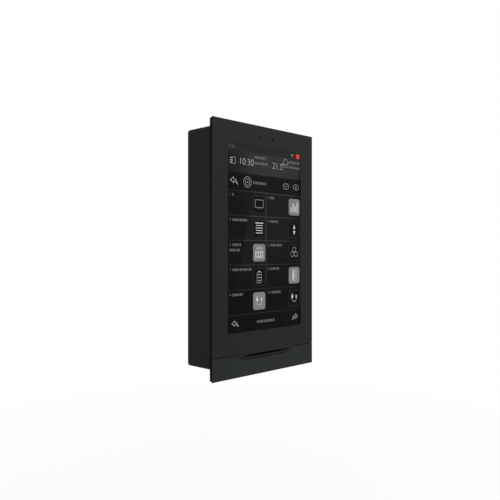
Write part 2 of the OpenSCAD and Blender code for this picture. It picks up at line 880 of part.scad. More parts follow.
// Foam ring that seals the loudspeaker to the slot.
module speaker_gasket() {
  color(rubber_black) slab(y_mesh_back, y_speaker) translate([0, speaker_z]) difference() {
    round_rect(speaker_w, speaker_h, speaker_round);
    round_rect(speaker_w - 2 * foam_wall, speaker_h - 2 * foam_wall, speaker_round - foam_wall);
  }
}

// Dust cloth behind the slot.
module slot_mesh() {
  color("#0b0b0b") slab(y_wall, y_mesh_back)
    translate([0, speaker_z]) round_rect(speaker_w, speaker_h, speaker_round);
}

// Narrow board behind the two ports.
module sensor_board() {
  color(board_green) slab(y_strip, y_strip + strip_t)
    panel(strip_w, port_z + seal_rise - strip_h, port_z + seal_rise);
}

// A sensor on the strip, behind one of the ports.
module sensor(w, x) {
  slab(y_sensor, y_strip) panel(w, port_z - sensor_drop, port_z + sensor_rise, x);
}

// A block that fills the depth between the plate and a sensor.
module seal(w, x) {
  slab(y_wall, y_sensor) panel(w, port_z - seal_drop, port_z + seal_rise, x);
}

// Microphone capsule on the sensor strip.
module microphone() {
  color("#b9b193") difference() {
    sensor(microphone_w, -port_pitch / 2);
    rod([-port_pitch / 2, port_z], sound_hole_r, y_sensor - past, y_sensor + sound_hole_d);
  }
}

// Rubber boot that leads sound from the port to the microphone.
module microphone_boot() {
  color(rubber_black) difference() {
    seal(boot_w, -port_pitch / 2);
    rod([-port_pitch / 2, port_z], boot_bore_r, y_wall - past, y_sensor + past);
  }
}

// Light sensor on the sensor strip.
module light_sensor() {
  color("#26282a") sensor(light_sensor_w, port_pitch / 2);
}

// Tinted pin that carries light from the port to its sensor.
module light_pipe() {
  color("#191a1c") {
    rod([port_pitch / 2, port_z], port_d / 2 - pipe_gap, y_front + pipe_recess, y_wall + eps);
    seal(pipe_foot_w, port_pitch / 2);
  }
}

// Rear cover: shell behind the board, with vents, screw tubes and openings for the terminals.
module rear_cover() {
  color(dark_plastic) difference() {
    union() {
      unit_wall(y_skirt, y_case, 0, skirt_t);
      slab(y_case - case_t, y_case) unit_outline(0);
      unit_wall(y_skirt, y_skirt + lip_root, skirt_t - eps, lip_gap + lip_t + eps);
      unit_wall(y_skirt - lip_d, y_skirt + lip_root, skirt_t + lip_gap, lip_t);
      for (spot = case_screw_spots) rod(spot, tube_r, y_board_back, y_case - eps);
    }
    for (spot = case_screw_spots) {
      rod(spot, case_screw_r + screw_play, y_board_back - past, y_case + past);
      rod(spot, case_head_r + head_play, y_board_back + tube_floor, y_case + past);
    }
    for (t = [[bus_x, bus_size], [power_x, power_size]])
      slab(y_case - case_t - past, y_case + past)
        panel(t[1][0] + 2 * terminal_gap, terminal_z - t[1][2] / 2 - terminal_gap,
              terminal_z + t[1][2] / 2 + terminal_gap, t[0]);
    for (x = [-vent_x, vent_x], z = vent_heights)
      slab(y_case - case_t - past, y_case + past) translate([x, z]) racetrack(vent_w, vent_h);
    slab(y_skirt - lip_d - past, y_skirt)
      panel(strip_w + 2 * strip_gap, unit_top - 3 * skirt_t, unit_top + past);
  }
}

wall_box();
front_bezel();
lower_cover();
touch_glass();
display_gasket();
lcd_panel();
backlight_tray();
display_ribbon();
ribbon_connector();
mid_frame();
frame_screws();
main_board();
processor();
memory_chips();
shield_can();
capacitors();
coin_cell_holder();
coin_cell();
bus_terminal();
power_terminal();
reset_switch();
programming_switch();
reset_button();
programming_button();
speaker_frame();
speaker_cone();
speaker_gasket();
slot_mesh();
sensor_board();
microphone();
microphone_boot();
light_sensor();
light_pipe();
rear_cover();
case_screws();
fixing_screws();
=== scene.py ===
"""Looks of a flush wall touch panel: finishes of its solids, the picture on its display, and the studio."""
import math

import bpy
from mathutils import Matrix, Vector


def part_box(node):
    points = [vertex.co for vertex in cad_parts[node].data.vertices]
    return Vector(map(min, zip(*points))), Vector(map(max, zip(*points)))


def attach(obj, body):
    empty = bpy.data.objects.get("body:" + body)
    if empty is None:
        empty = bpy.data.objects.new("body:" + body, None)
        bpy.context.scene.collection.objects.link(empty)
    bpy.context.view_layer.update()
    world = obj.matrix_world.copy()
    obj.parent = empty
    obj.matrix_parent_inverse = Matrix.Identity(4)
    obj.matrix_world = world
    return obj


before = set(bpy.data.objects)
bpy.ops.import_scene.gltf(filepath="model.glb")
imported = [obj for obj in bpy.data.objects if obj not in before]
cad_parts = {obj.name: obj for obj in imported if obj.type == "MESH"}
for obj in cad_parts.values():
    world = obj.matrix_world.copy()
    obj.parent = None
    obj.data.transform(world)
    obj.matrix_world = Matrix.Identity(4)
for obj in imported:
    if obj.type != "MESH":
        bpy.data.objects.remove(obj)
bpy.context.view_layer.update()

bl_info = {
    "name": "Wall touch panel",
    "version": (1, 0, 0),
    "blender": (4, 5, 0),
    "location": "View3D > Sidebar > Touch Panel",
    "description": "Finishes a flush wall touch panel and draws the picture on its display",
    "category": "Object",
}

MM = 0.001
HOUSING = "housing"

# What the plate hides of the glass, at its sides and along its top, and the height of the picture
GLASS_BORDER_SIDE = 3.0 * MM
GLASS_BORDER_TOP = 2.8 * MM
PICTURE_HEIGHT = 153.2 * MM

# Places taken from the frame, in metres
GLASS_LOW, GLASS_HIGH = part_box("touch_glass")
PLATE_LOW, PLATE_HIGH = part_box("front_bezel")
DISPLAY_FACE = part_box("lcd_panel")[0].y
COVER_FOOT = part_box("lower_cover")[0].z
PICTURE_TOP = GLASS_HIGH.z - GLASS_BORDER_TOP
PICTURE_CENTRE = Vector((0, DISPLAY_FACE, PICTURE_TOP - PICTURE_HEIGHT / 2))
PLATE_CENTRE = Vector((0, PLATE_LOW.y, (PLATE_HIGH.z + COVER_FOOT) / 2))

# The picture's size in millimetres, the unit of everything that is drawn on it
PICTURE_W = (GLASS_HIGH.x - GLASS_LOW.x - 2 * GLASS_BORDER_SIDE) / MM
PICTURE_H = PICTURE_HEIGHT / MM


def linear(hex_colour):
    """An sRGB hex colour as linear red, green and blue."""
    parts = [int(hex_colour[i:i + 2], 16) / 255 for i in (1, 3, 5)]
    return tuple(c / 12.92 if c <= 0.04045 else ((c + 0.055) / 1.055) ** 2.4 for c in parts)


def rgba(colour):
    """A colour property or a linear triple with full opacity."""
    return (*colour[:3], 1.0)


WHITE = rgba(linear("#ffffff"))
BLACK = rgba(linear("#000000"))


def colour_property(name, description, hex_colour):
    """A colour that a user can change, written as sRGB hex."""
    return bpy.props.FloatVectorProperty(
        name=name, description=description, default=linear(hex_colour), size=3, min=0, max=1,
        subtype="COLOR")


def length_property(name, description, millimetres):
    """A length that a user can change, written in millimetres."""
    return bpy.props.FloatProperty(
        name=name, description=description, default=millimetres * MM, min=0, precision=5,
        unit="LENGTH", subtype="DISTANCE")


class PanelFinishes(bpy.types.PropertyGroup):
    """Colours of the panel's own surfaces."""
    plate: colour_property("Plate", "Matt lacquer on the front plate", "#1d2020")
    cover: colour_property("Lower cover", "Matt lacquer on the lower cover", "#242727")
    # The edge colour goes on every face of the plate and cover that turns from the front, and as painted
    # shade deep in recesses
    edge: colour_property("Plate edge", "Bare moulding on the edges of the plate", "#030303")
    box: colour_property("In-wall box", "Black moulding of the in-wall box", "#141412")
    inner: colour_property("Inner parts", "Black moulding of the frame and the rear cover", "#161617")


class PictureSettings(bpy.types.PropertyGroup):
    """Sizes and colours of the picture on the display."""
    status_height: length_property("Status band", "Height of the band along the top", 5.7)
    info_height: length_property("Info band", "Height of the band with the clock", 17.9)
    header_height: length_property("Header band", "Height of the band above the tiles", 14.5)
    row_height: length_property("Tile row", "Height of one row of tiles", 20.2)
    line_width: length_property("Grid line", "Width of the lines between the tiles", 0.8)
    key_size: length_property("Key", "Width and height of a round-cornered key", 14.6)
    key_corner: length_property("Key corner", "Corner radius of a key", 2.2)
    rim_width: length_property("Key rim", "Width of the rim of a key that is off", 0.5)
    overlap: length_property("Overlap", "How far the picture runs on behind the plate", 1.3)
    # Each colour named sheen is the display's light where the painted sheen, a painted reflection, lies on
    # it
    ground: colour_property("Ground", "Light of the tiles outside the sheen", "#0b0c0c")
    ground_painted_sheen: colour_property("Ground sheen", "Light of the tiles in the sheen", "#1a1b1b")
    status: colour_property("Status band light", "Light of the status band", "#242525")
    info: colour_property("Info band light", "Light of the info band outside the sheen", "#111212")
    info_painted_sheen: colour_property("Info band sheen", "Light of the info band in the sheen", "#323333")
    header: colour_property("Header band light", "Light of the header band outside the sheen", "#0a0b0b")
    header_painted_sheen: colour_property("Header band sheen", "Light of the header band in the sheen", "#121313")
    footer: colour_property("Footer band light", "Light of the footer band", "#0b0c0c")
    line: colour_property("Grid line light", "Light of the grid lines outside the sheen", "#1b1c1c")
    line_painted_sheen: colour_property("Grid line sheen", "Light of the grid lines in the sheen", "#393a3a")
    lit_sign: colour_property("Lit sign", "Light of the sign on a key that is on", "#c9cbcb")
    sign: colour_property("Sign", "Light of digits, arrows and other signs", "#c8caca")
    label: colour_property("Label", "Light of the labels", "#6c6e6e")
    faint_label: colour_property("Faint label", "Light of the label in the status band", "#4a4c4c")
    key_on: colour_property("Lit key", "Light of a key that is on", "#7b7d7d")
    key_off: colour_property("Unlit key", "Light of a key that is off", "#0d0e0e")
    rim: colour_property("Rim", "Light of the rim of a key that is off", "#2c2d2d")
    alert: colour_property("Alert", "Light of the alert square", "#d52d2d")


class StageSettings(bpy.types.PropertyGroup):
    """Camera and light of the studio."""
    turn: bpy.props.FloatProperty(
        name="Turn", description="Angle between the camera's view and the plate's normal",
        default=math.radians(45.39), subtype="ANGLE")
    distance: length_property("Distance", "Camera to the plate's middle, along the view", 509.2)
    side_step: length_property("Side step", "How far the camera stands to its own left of the middle", 13.85)
    drop: length_property("Drop", "How far the camera stands below the plate's middle", 0.33)
    lens: bpy.props.FloatProperty(
        name="Lens", description="Focal length in millimetres", default=43.32, min=1, unit="CAMERA")
    floor_drop: length_property("Floor drop", "From the plate's lower edge down to the floor", 180)
    world_light: bpy.props.FloatProperty(
        name="World light", description="Strength of the white surroundings on matt surfaces",
        default=0.7, min=0)


def clear_selection():
    """Goes back to object mode with nothing selected."""
    if bpy.context.object and bpy.context.object.mode != "OBJECT":
        bpy.ops.object.mode_set(mode="OBJECT")
    bpy.ops.object.select_all(action="DESELECT")


def set_stops(elements, stops):
    """Gives a colour ramp one stop for each (place, colour) pair."""
    while len(elements) < len(stops):
        elements.new(0.5)
    for element, (place, colour) in zip(elements, stops):
        element.position = place
        element.color = rgba(colour)


def add_node(tree, kind, settings=None, links=None):
    """Adds one shader node, sets its sockets, values and colour stops, and links other nodes into it."""
    node = tree.nodes.new(kind)
    for key, value in (settings or {}).items():
        if key == "stops":
            set_stops(node.color_ramp.elements, value)
        elif isinstance(key, int) or key in node.inputs:
            node.inputs[key].default_value = value
        else:
            setattr(node, key, value)
    for socket, source in (links or {}).items():
        tree.links.new(source, node.inputs[socket])
    return node


def new_finish(name):
    """An empty node material, with the object's own coordinates ready to use."""
    material = bpy.data.materials.new(name)
    material.use_nodes = True
    material.node_tree.nodes.clear()
    place = add_node(material.node_tree, "ShaderNodeTexCoord")
    return material, material.node_tree, place


def close_finish(tree, settings, links=None):
    """Ends a material with its surface shader and its output."""
    surface = add_node(tree, "ShaderNodeBsdfPrincipled", settings, links)
    add_node(tree, "ShaderNodeOutputMaterial", links={"Surface": surface.outputs["BSDF"]})


def shade(colour, factor):
    """A colour made lighter or darker by a factor."""
    return tuple(c * factor for c in colour[:3])


def mottle(colour, share, low=0.3, high=0.7):
    """Two colour stops, from a share darker than a colour to a share lighter."""
    return ((low, shade(colour, 1 - share)), (high, shade(colour, 1 + share)))


# Width of the cloudy patches in a moulding's colour, and depth of its pits
MOULDING_CLOUD = 14 * MM
MOULDING_PIT = 0.04 * MM


def moulded_plastic(name, colour, grain_mm=0.4, roughness=0.5, specular=0.4):
    """Moulded plastic with a grain: a faint mottle in colour and gloss, and pits that soften the light."""
    material, tree, place = new_finish(name)
    grain = add_node(tree, "ShaderNodeTexNoise", {"Scale": 1 / (grain_mm * MM), "Detail": 3.0},
                     {"Vector": place.outputs["Object"]})
    cloud = add_node(tree, "ShaderNodeTexNoise", {"Scale": 1 / MOULDING_CLOUD, "Detail": 2.0},
                     {"Vector": place.outputs["Object"]})
    tone = add_node(tree, "ShaderNodeValToRGB", {"stops": mottle(colour, 0.06)},
                    {"Fac": cloud.outputs["Fac"]})
    gloss = add_node(tree, "ShaderNodeMapRange", {"To Min": roughness - 0.06, "To Max": roughness + 0.06},
                     {"Value": grain.outputs["Fac"]})
    pits = add_node(tree, "ShaderNodeBump", {"Strength": 0.12, "Distance": MOULDING_PIT},
                    {"Height": grain.outputs["Fac"]})
    close_finish(tree, {"Specular IOR Level": specular},
                 {"Base Color": tone.outputs["Color"], "Roughness": gloss.outputs["Result"],
                  "Normal": pits.outputs["Normal"]})
    return material


# Grain of the sprayed lacquer, and depth of its pits
LACQUER_GRAIN = 0.45 * MM
LACQUER_PIT = 0.03 * MM
# Y of a surface's normal where it takes only the near-black edge colour, and where it takes only the face
# colour
DARK_SIDE_TURN = -0.55
FRONT_FACE_TURN = -0.85
# Painted shade in recesses: depths behind the plate's face down to which the face colour is whole,
# and past which only this share of it is left over the near-black edge colour
RECESS_SHADE_START = 0.15 * MM
RECESS_SHADE_FULL = 0.45 * MM
RECESS_FACE_SHARE = 0.12
# Roughness of the faces that turn from the front, and of the lacquer
SIDE_ROUGHNESS = 1.0
LACQUER_ROUGHNESS = 0.58


def lacquered_plate(name, face, edge):
    """ABS under soft matt lacquer: near black and rough where it turns from the front, painted shade in
    recesses.
    """
    material, tree, place = new_finish(name)
    grain = add_node(tree, "ShaderNodeTexNoise", {"Scale": 1 / LACQUER_GRAIN, "Detail": 4.0},
                     {"Vector": place.outputs["Object"]})
    speckle = add_node(tree, "ShaderNodeValToRGB", {"stops": mottle(face, 0.07, 0.35, 0.65)},
                       {"Fac": grain.outputs["Fac"]})
    way = add_node(tree, "ShaderNodeSeparateXYZ", links={"Vector": place.outputs["Normal"]})
    front = add_node(tree, "ShaderNodeMapRange", {"From Min": DARK_SIDE_TURN, "From Max": FRONT_FACE_TURN},
                     {"Value": way.outputs["Y"]})
    spot = add_node(tree, "ShaderNodeSeparateXYZ", links={"Vector": place.outputs["Object"]})
    # Painted shade: deeper than the face, the face colour gives way to the near-black edge colour
    reach = add_node(tree, "ShaderNodeMapRange",
                     {"From Min": PLATE_LOW.y + RECESS_SHADE_START, "From Max": PLATE_LOW.y + RECESS_SHADE_FULL,
                      "To Min": 1.0, "To Max": RECESS_FACE_SHARE},
                     {"Value": spot.outputs["Y"]})
    lacquer = add_node(tree, "ShaderNodeMath", {"operation": "MULTIPLY"},
                       {0: front.outputs["Result"], 1: reach.outputs["Result"]})
    tone = add_node(tree, "ShaderNodeMix", {"data_type": "RGBA", 6: rgba(edge)},
                    {"Factor": lacquer.outputs["Value"], 7: speckle.outputs["Color"]})
    pits = add_node(tree, "ShaderNodeBump", {"Strength": 0.1, "Distance": LACQUER_PIT},
                    {"Height": grain.outputs["Fac"]})
    gloss = add_node(tree, "ShaderNodeMapRange", {"To Min": SIDE_ROUGHNESS, "To Max": LACQUER_ROUGHNESS},
                     {"Value": front.outputs["Result"]})
    close_finish(tree, {"Specular IOR Level": 0.09},
                 {"Base Color": tone.outputs[2], "Roughness": gloss.outputs["Result"],
                  "Normal": pits.outputs["Normal"]})
    return material


# How many times longer than wide a scratch in metal is
SCRATCH_LENGTH = 12


def bare_metal(name, colour, roughness, brush_mm):
    """Plated or rolled metal: fine parallel scratches that spread its highlights along one way."""
    material, tree, place = new_finish(name)
    along = add_node(tree, "ShaderNodeMapping", {"Scale": (1 / SCRATCH_LENGTH, 1, 1)},
                     {"Vector": place.outputs["Object"]})
    scratch = add_node(tree, "ShaderNodeTexNoise", {"Scale": 1 / (brush_mm * MM), "Detail": 4.0},
                       {"Vector": along.outputs["Vector"]})
    gloss = add_node(tree, "ShaderNodeMapRange", {"To Min": roughness - 0.08, "To Max": roughness + 0.1},
                     {"Value": scratch.outputs["Fac"]})
    tone = add_node(tree, "ShaderNodeValToRGB", {"stops": ((0.3, shade(colour, 0.9)), (0.7, colour))},
                    {"Fac": scratch.outputs["Fac"]})
    close_finish(tree, {"Metallic": 1.0},
                 {"Base Color": tone.outputs["Color"], "Roughness": gloss.outputs["Result"]})
    return material


# Thread spacing of the board's glass cloth, and the spacing of a wave texture's bands at a scale of one
BOARD_WEAVE = 0.75 * MM
WAVE_SPACING = math.tau / 20


def solder_mask(name, colour):
    """Glass-fibre board under green solder mask: a faint weave shows through the gloss."""
    material, tree, place = new_finish(name)
    weave = add_node(tree, "ShaderNodeTexWave",
                     {"Scale": WAVE_SPACING / BOARD_WEAVE, "Distortion": 1.5, "bands_direction": "Z"},
                     {"Vector": place.outputs["Object"]})
    tone = add_node(tree, "ShaderNodeValToRGB", {"stops": mottle(colour, 0.15, 0.0, 1.0)},
                    {"Fac": weave.outputs["Fac"]})
    close_finish(tree, {"Roughness": 0.32}, {"Base Color": tone.outputs["Color"]})
    return material


def woven_cloth(name, colour, thread_mm):
    """Acoustic cloth: a dull plain weave, dark between its threads."""
    material, tree, place = new_finish(name)
    weave = add_node(tree, "ShaderNodeTexVoronoi", {"Scale": 1 / (thread_mm * MM), "Randomness": 0.1},
                     {"Vector": place.outputs["Object"]})
    stops = ((0.1, shade(colour, 1.6)), (0.6, shade(colour, 0.4)))
    tone = add_node(tree, "ShaderNodeValToRGB", {"stops": stops}, {"Fac": weave.outputs["Distance"]})
    close_finish(tree, {"Roughness": 0.95, "Specular IOR Level": 0.05},
                 {"Base Color": tone.outputs["Color"]})
    return material


# Width of the faint patches in the glass's coating
COATING_CLOUD = 20 * MM


def coated_glass(name):
    """Thin glass under an anti-reflective coating: it mirrors nothing and takes a little of the light."""
    material, tree, place = new_finish(name)
    coat = add_node(tree, "ShaderNodeTexNoise", {"Scale": 1 / COATING_CLOUD, "Detail": 2.0},
                    {"Vector": place.outputs["Object"]})
    stops = ((0.3, BLACK), (0.7, linear("#010102")))
    tint = add_node(tree, "ShaderNodeValToRGB", {"stops": stops}, {"Fac": coat.outputs["Fac"]})
    close_finish(tree, {"Alpha": 0.03, "Roughness": 0.2, "Specular IOR Level": 0.0},
                 {"Base Color": tint.outputs["Color"]})
    return material


# The backlight: its gain, which makes up for what the glass takes, and its patches' width and unevenness
BACKLIGHT_GAIN = 1.06
BACKLIGHT_CLOUD = 30 * MM
BACKLIGHT_UNEVEN = 0.05


def close_backlit(tree, light):
    """Ends a material of the lit display: its own light, with next to no gloss."""
    close_finish(tree, {"Base Color": BLACK, "Roughness": 0.3, "Specular IOR Level": 0.03,
                        "Emission Strength": BACKLIGHT_GAIN}, {"Emission Color": light})


def backlit(name, colour):
    """One colour of the lit display, with the slight unevenness of its backlight."""
    material, tree, place = new_finish(name)
    cloud = add_node(tree, "ShaderNodeTexNoise", {"Scale": 1 / BACKLIGHT_CLOUD, "Detail": 1.0},
                     {"Vector": place.outputs["Object"]})
    light = add_node(tree, "ShaderNodeValToRGB", {"stops": mottle(colour, BACKLIGHT_UNEVEN)},
                     {"Fac": cloud.outputs["Fac"]})
    close_backlit(tree, light.outputs["Color"])
    return material


# The sheen on the display is a painted reflection in its own light, a beam and a softer glow: how far each
# leans aside for its rise, and pairs of a place across the sheen's width, from left to right, and the
# strength there
BEAM_LEAN = -0.25
PAINTED_BEAM = ((0.0, 0.22), (0.245, 0.26), (0.275, 0.97), (0.5, 0.93), (0.76, 0.78), (0.84, 0.32), (1.0, 0.28))
GLOW_LEAN = 0.18
PAINTED_GLOW = ((0.25, 0.22), (0.43, 0.8), (0.5, 0.8), (0.6, 0.2))
# Half of the sheen's width, and the heights above the picture's middle where it has faded and is full
SHEEN_REACH = 50 * MM
SHEEN_FADED = -50 * MM
SHEEN_FULL = 2 * MM


def backlit_painted_sheen(name, dark, bright, foot_share):
    """A dark field of the display under a slanted painted reflection; a share of it is left at the picture's
    foot.
    """
    material, tree, place = new_finish(name)
    centred = add_node(tree, "ShaderNodeMapping", {"Location": tuple(-PICTURE_CENTRE)},
                       {"Vector": place.outputs["Object"]})
    axes = add_node(tree, "ShaderNodeSeparateXYZ", links={"Vector": centred.outputs["Vector"]})
    strengths = []
    for lean, profile in ((BEAM_LEAN, PAINTED_BEAM), (GLOW_LEAN, PAINTED_GLOW)):
        slant = add_node(tree, "ShaderNodeMath", {"operation": "MULTIPLY_ADD", 1: lean},
                         {0: axes.outputs["Z"], 2: axes.outputs["X"]})
        across = add_node(tree, "ShaderNodeMapRange", {"From Min": -SHEEN_REACH, "From Max": SHEEN_REACH},
                          {"Value": slant.outputs["Value"]})
        stops = [(at, (level, level, level)) for at, level in profile]
        strength = add_node(tree, "ShaderNodeValToRGB", {"stops": stops}, {"Fac": across.outputs["Result"]})
        strengths.append(strength.outputs["Color"])
    sheen = add_node(tree, "ShaderNodeMath", {"operation": "MAXIMUM"}, dict(enumerate(strengths)))
    fall = add_node(tree, "ShaderNodeMapRange",
                    {"From Min": SHEEN_FADED, "From Max": SHEEN_FULL, "To Min": foot_share, "To Max": 1.0},
                    {"Value": axes.outputs["Z"]})
    share = add_node(tree, "ShaderNodeMath", {"operation": "MULTIPLY"},
                     {0: sheen.outputs["Value"], 1: fall.outputs["Result"]})
    light = add_node(tree, "ShaderNodeMix", {"data_type": "RGBA", 6: rgba(dark), 7: rgba(bright)},
                     {"Factor": share.outputs["Value"]})
    close_backlit(tree, light.outputs[2])
    return material


def dress(node, material):
    """Gives a solid of the frame its finish."""
    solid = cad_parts[node]
    solid.data.materials.clear()
    solid.data.materials.append(material)


# Segments of a round corner, sides of a disc, and degrees in one step of an arc
CORNER_STEPS = 5
ROUND_STEPS = 40
ARC_STEP = 9
# Radius of a stroke's round end as a share of its width, just under half so that its corners stay apart
END_ROUND = 0.49
# Share of a type size that a digit stands tall
DIGIT_SHARE = 0.72
# A label's blocks, in shares of its height: their widths in turn, the gap after each, their corner radius,
# and the least room in which another block is begun
BLOCK_WIDTHS = (0.5, 0.34, 0.62, 0.46, 0.2, 0.56)
BLOCK_GAP = 0.36
BLOCK_CORNER = 0.12
BLOCK_ROOM = 0.5


def flat_sheet(size, at, corner=0.0, turn=0.0):
    """A rectangle on the drawing board, in millimetres, with round corners where a radius is given."""
    clear_selection()
    bpy.ops.mesh.primitive_plane_add(size=1, location=(at[0] * MM, at[1] * MM, 0), rotation=(0, 0, turn))
    shape = bpy.context.object
    shape.scale = (size[0] * MM, size[1] * MM, 1)
    bpy.ops.object.transform_apply(location=True, rotation=True, scale=True)
    if corner:
        bpy.ops.object.mode_set(mode="EDIT")
        bpy.ops.mesh.select_all(action="SELECT")
        bpy.ops.mesh.bevel(offset=corner * MM, segments=CORNER_STEPS, affect="VERTICES")
        bpy.ops.object.mode_set(mode="OBJECT")
    return shape


def open_middle(shape, line):
    """Leaves only a rim of the given width, in millimetres, of a flat shape."""
    clear_selection()
    shape.select_set(True)
    bpy.context.view_layer.objects.active = shape
    bpy.ops.object.mode_set(mode="EDIT")
    bpy.ops.mesh.select_all(action="SELECT")
    bpy.ops.mesh.inset(thickness=line * MM)
    bpy.ops.mesh.delete(type="FACE")
    bpy.ops.object.mode_set(mode="OBJECT")
    return shape


def flat_disc(radius, at, squeeze=1.0, turn=0.0, steps=ROUND_STEPS):
    """A disc on the drawing board, squeezed to an ellipse and turned where asked."""
    clear_selection()
    bpy.ops.mesh.primitive_circle_add(
        vertices=steps, radius=radius * MM, fill_type="NGON", location=(at[0] * MM, at[1] * MM, 0),
        rotation=(0, 0, turn))
    shape = bpy.context.object
    shape.scale = (1, squeeze, 1)
    bpy.ops.object.transform_apply(location=True, rotation=True, scale=True)
    return shape


def flat_strip(start, end, width):
    """A straight stroke with round ends between two points."""
    run = Vector(end) - Vector(start)
    middle = (Vector(start) + Vector(end)) / 2
    return flat_sheet((run.length + width, width), middle, END_ROUND * width, math.atan2(run.y, run.x))


def flat_arc(radius, width, at, first, last):
    """A curved stroke from one angle up to another, in degrees: an edge spun, then turned and moved."""
    clear_selection()
    bpy.ops.mesh.primitive_plane_add(size=width * MM, location=(radius * MM, width * MM / 2, 0))
    shape = bpy.context.object
    bpy.ops.object.transform_apply(location=True)
    bpy.ops.object.mode_set(mode="EDIT")
    bpy.ops.mesh.select_mode(type="VERT")
    bpy.ops.mesh.select_all(action="DESELECT")
    bpy.ops.object.mode_set(mode="OBJECT")
    for vertex in shape.data.vertices:
        vertex.select = vertex.co.y > width * MM / 2
    bpy.ops.object.mode_set(mode="EDIT")
    bpy.ops.mesh.delete(type="VERT")
    bpy.ops.mesh.select_all(action="SELECT")
    bpy.ops.mesh.spin(steps=round((last - first) / ARC_STEP), angle=math.radians(last - first),
                      center=(0, 0, 0), axis=(0, 0, -1))
    bpy.ops.object.mode_set(mode="OBJECT")
    shape.rotation_euler = (0, 0, math.radians(first))
    shape.location = (at[0] * MM, at[1] * MM, 0)
    bpy.ops.object.transform_apply(location=True, rotation=True)
    return shape


def flat_outline(points):
    """A shape with straight sides, pulled out of a disc with as many corners."""
    shape = flat_disc(1, (0, 0), steps=len(points))
    for vertex, point in zip(shape.data.vertices, points):
        vertex.co = (point[0] * MM, point[1] * MM, 0)
    return shape


def flat_digits(text, height, at, slim=0.0):
    """Plain digits from their left edge, centred on their height, with strokes slimmed by a share of it."""
    clear_selection()
    bpy.ops.object.text_add(location=(at[0] * MM, at[1] * MM, 0))
    shape = bpy.context.object
    shape.data.body = text
    shape.data.size = height * MM / DIGIT_SHARE
    shape.data.offset = -slim * height * MM
    shape.data.align_y = "CENTER"
    bpy.ops.object.convert(target="MESH")
    bpy.ops.object.transform_apply(location=True)
    return bpy.context.object


def flat_label(start, end, height, tall):
    """A label: a row of small upright blocks of mixed widths, from one end to the other."""
    blocks = []
    while start + BLOCK_ROOM * tall < end:
        width = BLOCK_WIDTHS[len(blocks) % len(BLOCK_WIDTHS)] * tall
        blocks.append(flat_sheet((width, tall), (start + width / 2, height), BLOCK_CORNER * tall))
        start += width + BLOCK_GAP * tall
    return blocks


def shifted(shapes, at):
    """Moves flat shapes by a step on the drawing board."""
    for shape in shapes:
        for vertex in shape.data.vertices:
            vertex.co += Vector((at[0] * MM, at[1] * MM, 0))
    return shapes


# Depth of one drawn film on the display, and the step from one layer of films to the next
FILM = 0.02 * MM
LAYER_STEP = 0.03 * MM
# The layers, from the display's face to the front
GROUND_LAYER, BAND_LAYER, TILE_LAYER, KEY_LAYER, SIGN_LAYER, MARK_LAYER = range(6)


def face_up(piece):
    """Merges a flat drawing's double points and turns every face the same way, up from the board."""
    bpy.ops.object.mode_set(mode="EDIT")
    bpy.ops.mesh.select_all(action="SELECT")
    bpy.ops.mesh.remove_doubles(threshold=FILM / 10)
    bpy.ops.mesh.select_mode(type="FACE")
    bpy.ops.mesh.select_all(action="DESELECT")
    bpy.ops.object.mode_set(mode="OBJECT")
    for face in piece.data.polygons:
        face.select = face.normal.z < 0
    bpy.ops.object.mode_set(mode="EDIT")
    bpy.ops.mesh.flip_normals()
    bpy.ops.object.mode_set(mode="OBJECT")


def print_on_display(shapes, name, layer, finish):
    """Joins flat shapes to one film, stands it up in front of the display and rides it on the housing."""
    clear_selection()
    for shape in shapes:
        shape.select_set(True)
    bpy.context.view_layer.objects.active = shapes[0]
    if len(shapes) > 1:
        bpy.ops.object.join()
    piece = bpy.context.object
    piece.name = name
    piece.data.name = name
    face_up(piece)
    thicken = piece.modifiers.new("Film", "SOLIDIFY")
    thicken.thickness = FILM
    thicken.offset = 1
    bpy.ops.object.modifier_apply(modifier=thicken.name)
    piece.rotation_euler = (math.pi / 2, 0, 0)
    piece.location = PICTURE_CENTRE - Vector((0, layer * LAYER_STEP, 0))
    bpy.ops.object.transform_apply(location=True, rotation=True, scale=True)
    piece.data.materials.clear()
    piece.data.materials.append(finish)
    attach(piece, HOUSING)


# Layout of the picture, in millimetres from its middle; rows and columns count from the upper left
TILE_ROWS = 5
TILE_COLUMNS = 2
# Across: the line between the columns, the tiles' outer edges, the keys' middles and the labels' starts
DIVIDER_X = 0.8
TILE_EDGE_X = (-43.6, 44.9)
KEY_X = (-7.6, 37.4)
LABEL_X = (-41.8, 2.7)
LIT_KEYS = {(0, 1), (2, 0), (3, 1), (4, 0)}
# A label's middle below its tile's upper edge, its height, and its length by row and column
LABEL_DROP = 3.6
LABEL_TALL = 2.1
LABEL_LENGTHS = ((4.4, 8.8), (20.0, 14.4), (13.6, 18.1), (25.2, 15.6), (16.0, 16.3))
# Length of a label's second line, by row and column, and its distance below the first
SECOND_LINES = {(2, 0): 12.6}
LINE_DROP = 4.3
# Room of one digit of a tile's number, and the gap after the number, in shares of the label's height
NUMBER_STEP = 0.85
NUMBER_GAP = 0.7
# Labels in the bands: start, end, height above the picture's middle, and how tall
BAND_LABELS = ((-14.8, 0.8, 46.2, 2.2), (-10.2, 12.6, -69.7, 2.3), (-13.4, 1.0, 67.6, 2.2),
               (-13.4, 2.9, 62.8, 2.2), (30.6, 45.0, 67.8, 2.0), (30.6, 45.0, 63.4, 2.0))
STATUS_LABEL = (-42.4, -34.0, 73.6, 2.2)
# Digits of the clock and the thermometer: height, share of it that slims their strokes, and places
DIGIT_TALL = 5.7
DIGIT_SLIM = 0.038
CLOCK_AT = (-31.7, 62.4)
THERMOMETER_AT = (8.5, 62.4)
DEGREE_AT = (22.0, 64.6)
DEGREE_RADIUS = 0.8
# Places of the signs in the bands
MENU_AT = (-38.2, 62.4)
CLOUD_AT = (26.0, 67.4)
WAVES_AT = (34.9, 72.8)
RINGS_AT = (-21.5, 46.2)
MINUS_AT = (26.4, 46.1)
UPWARD_AT = (39.7, 46.1)
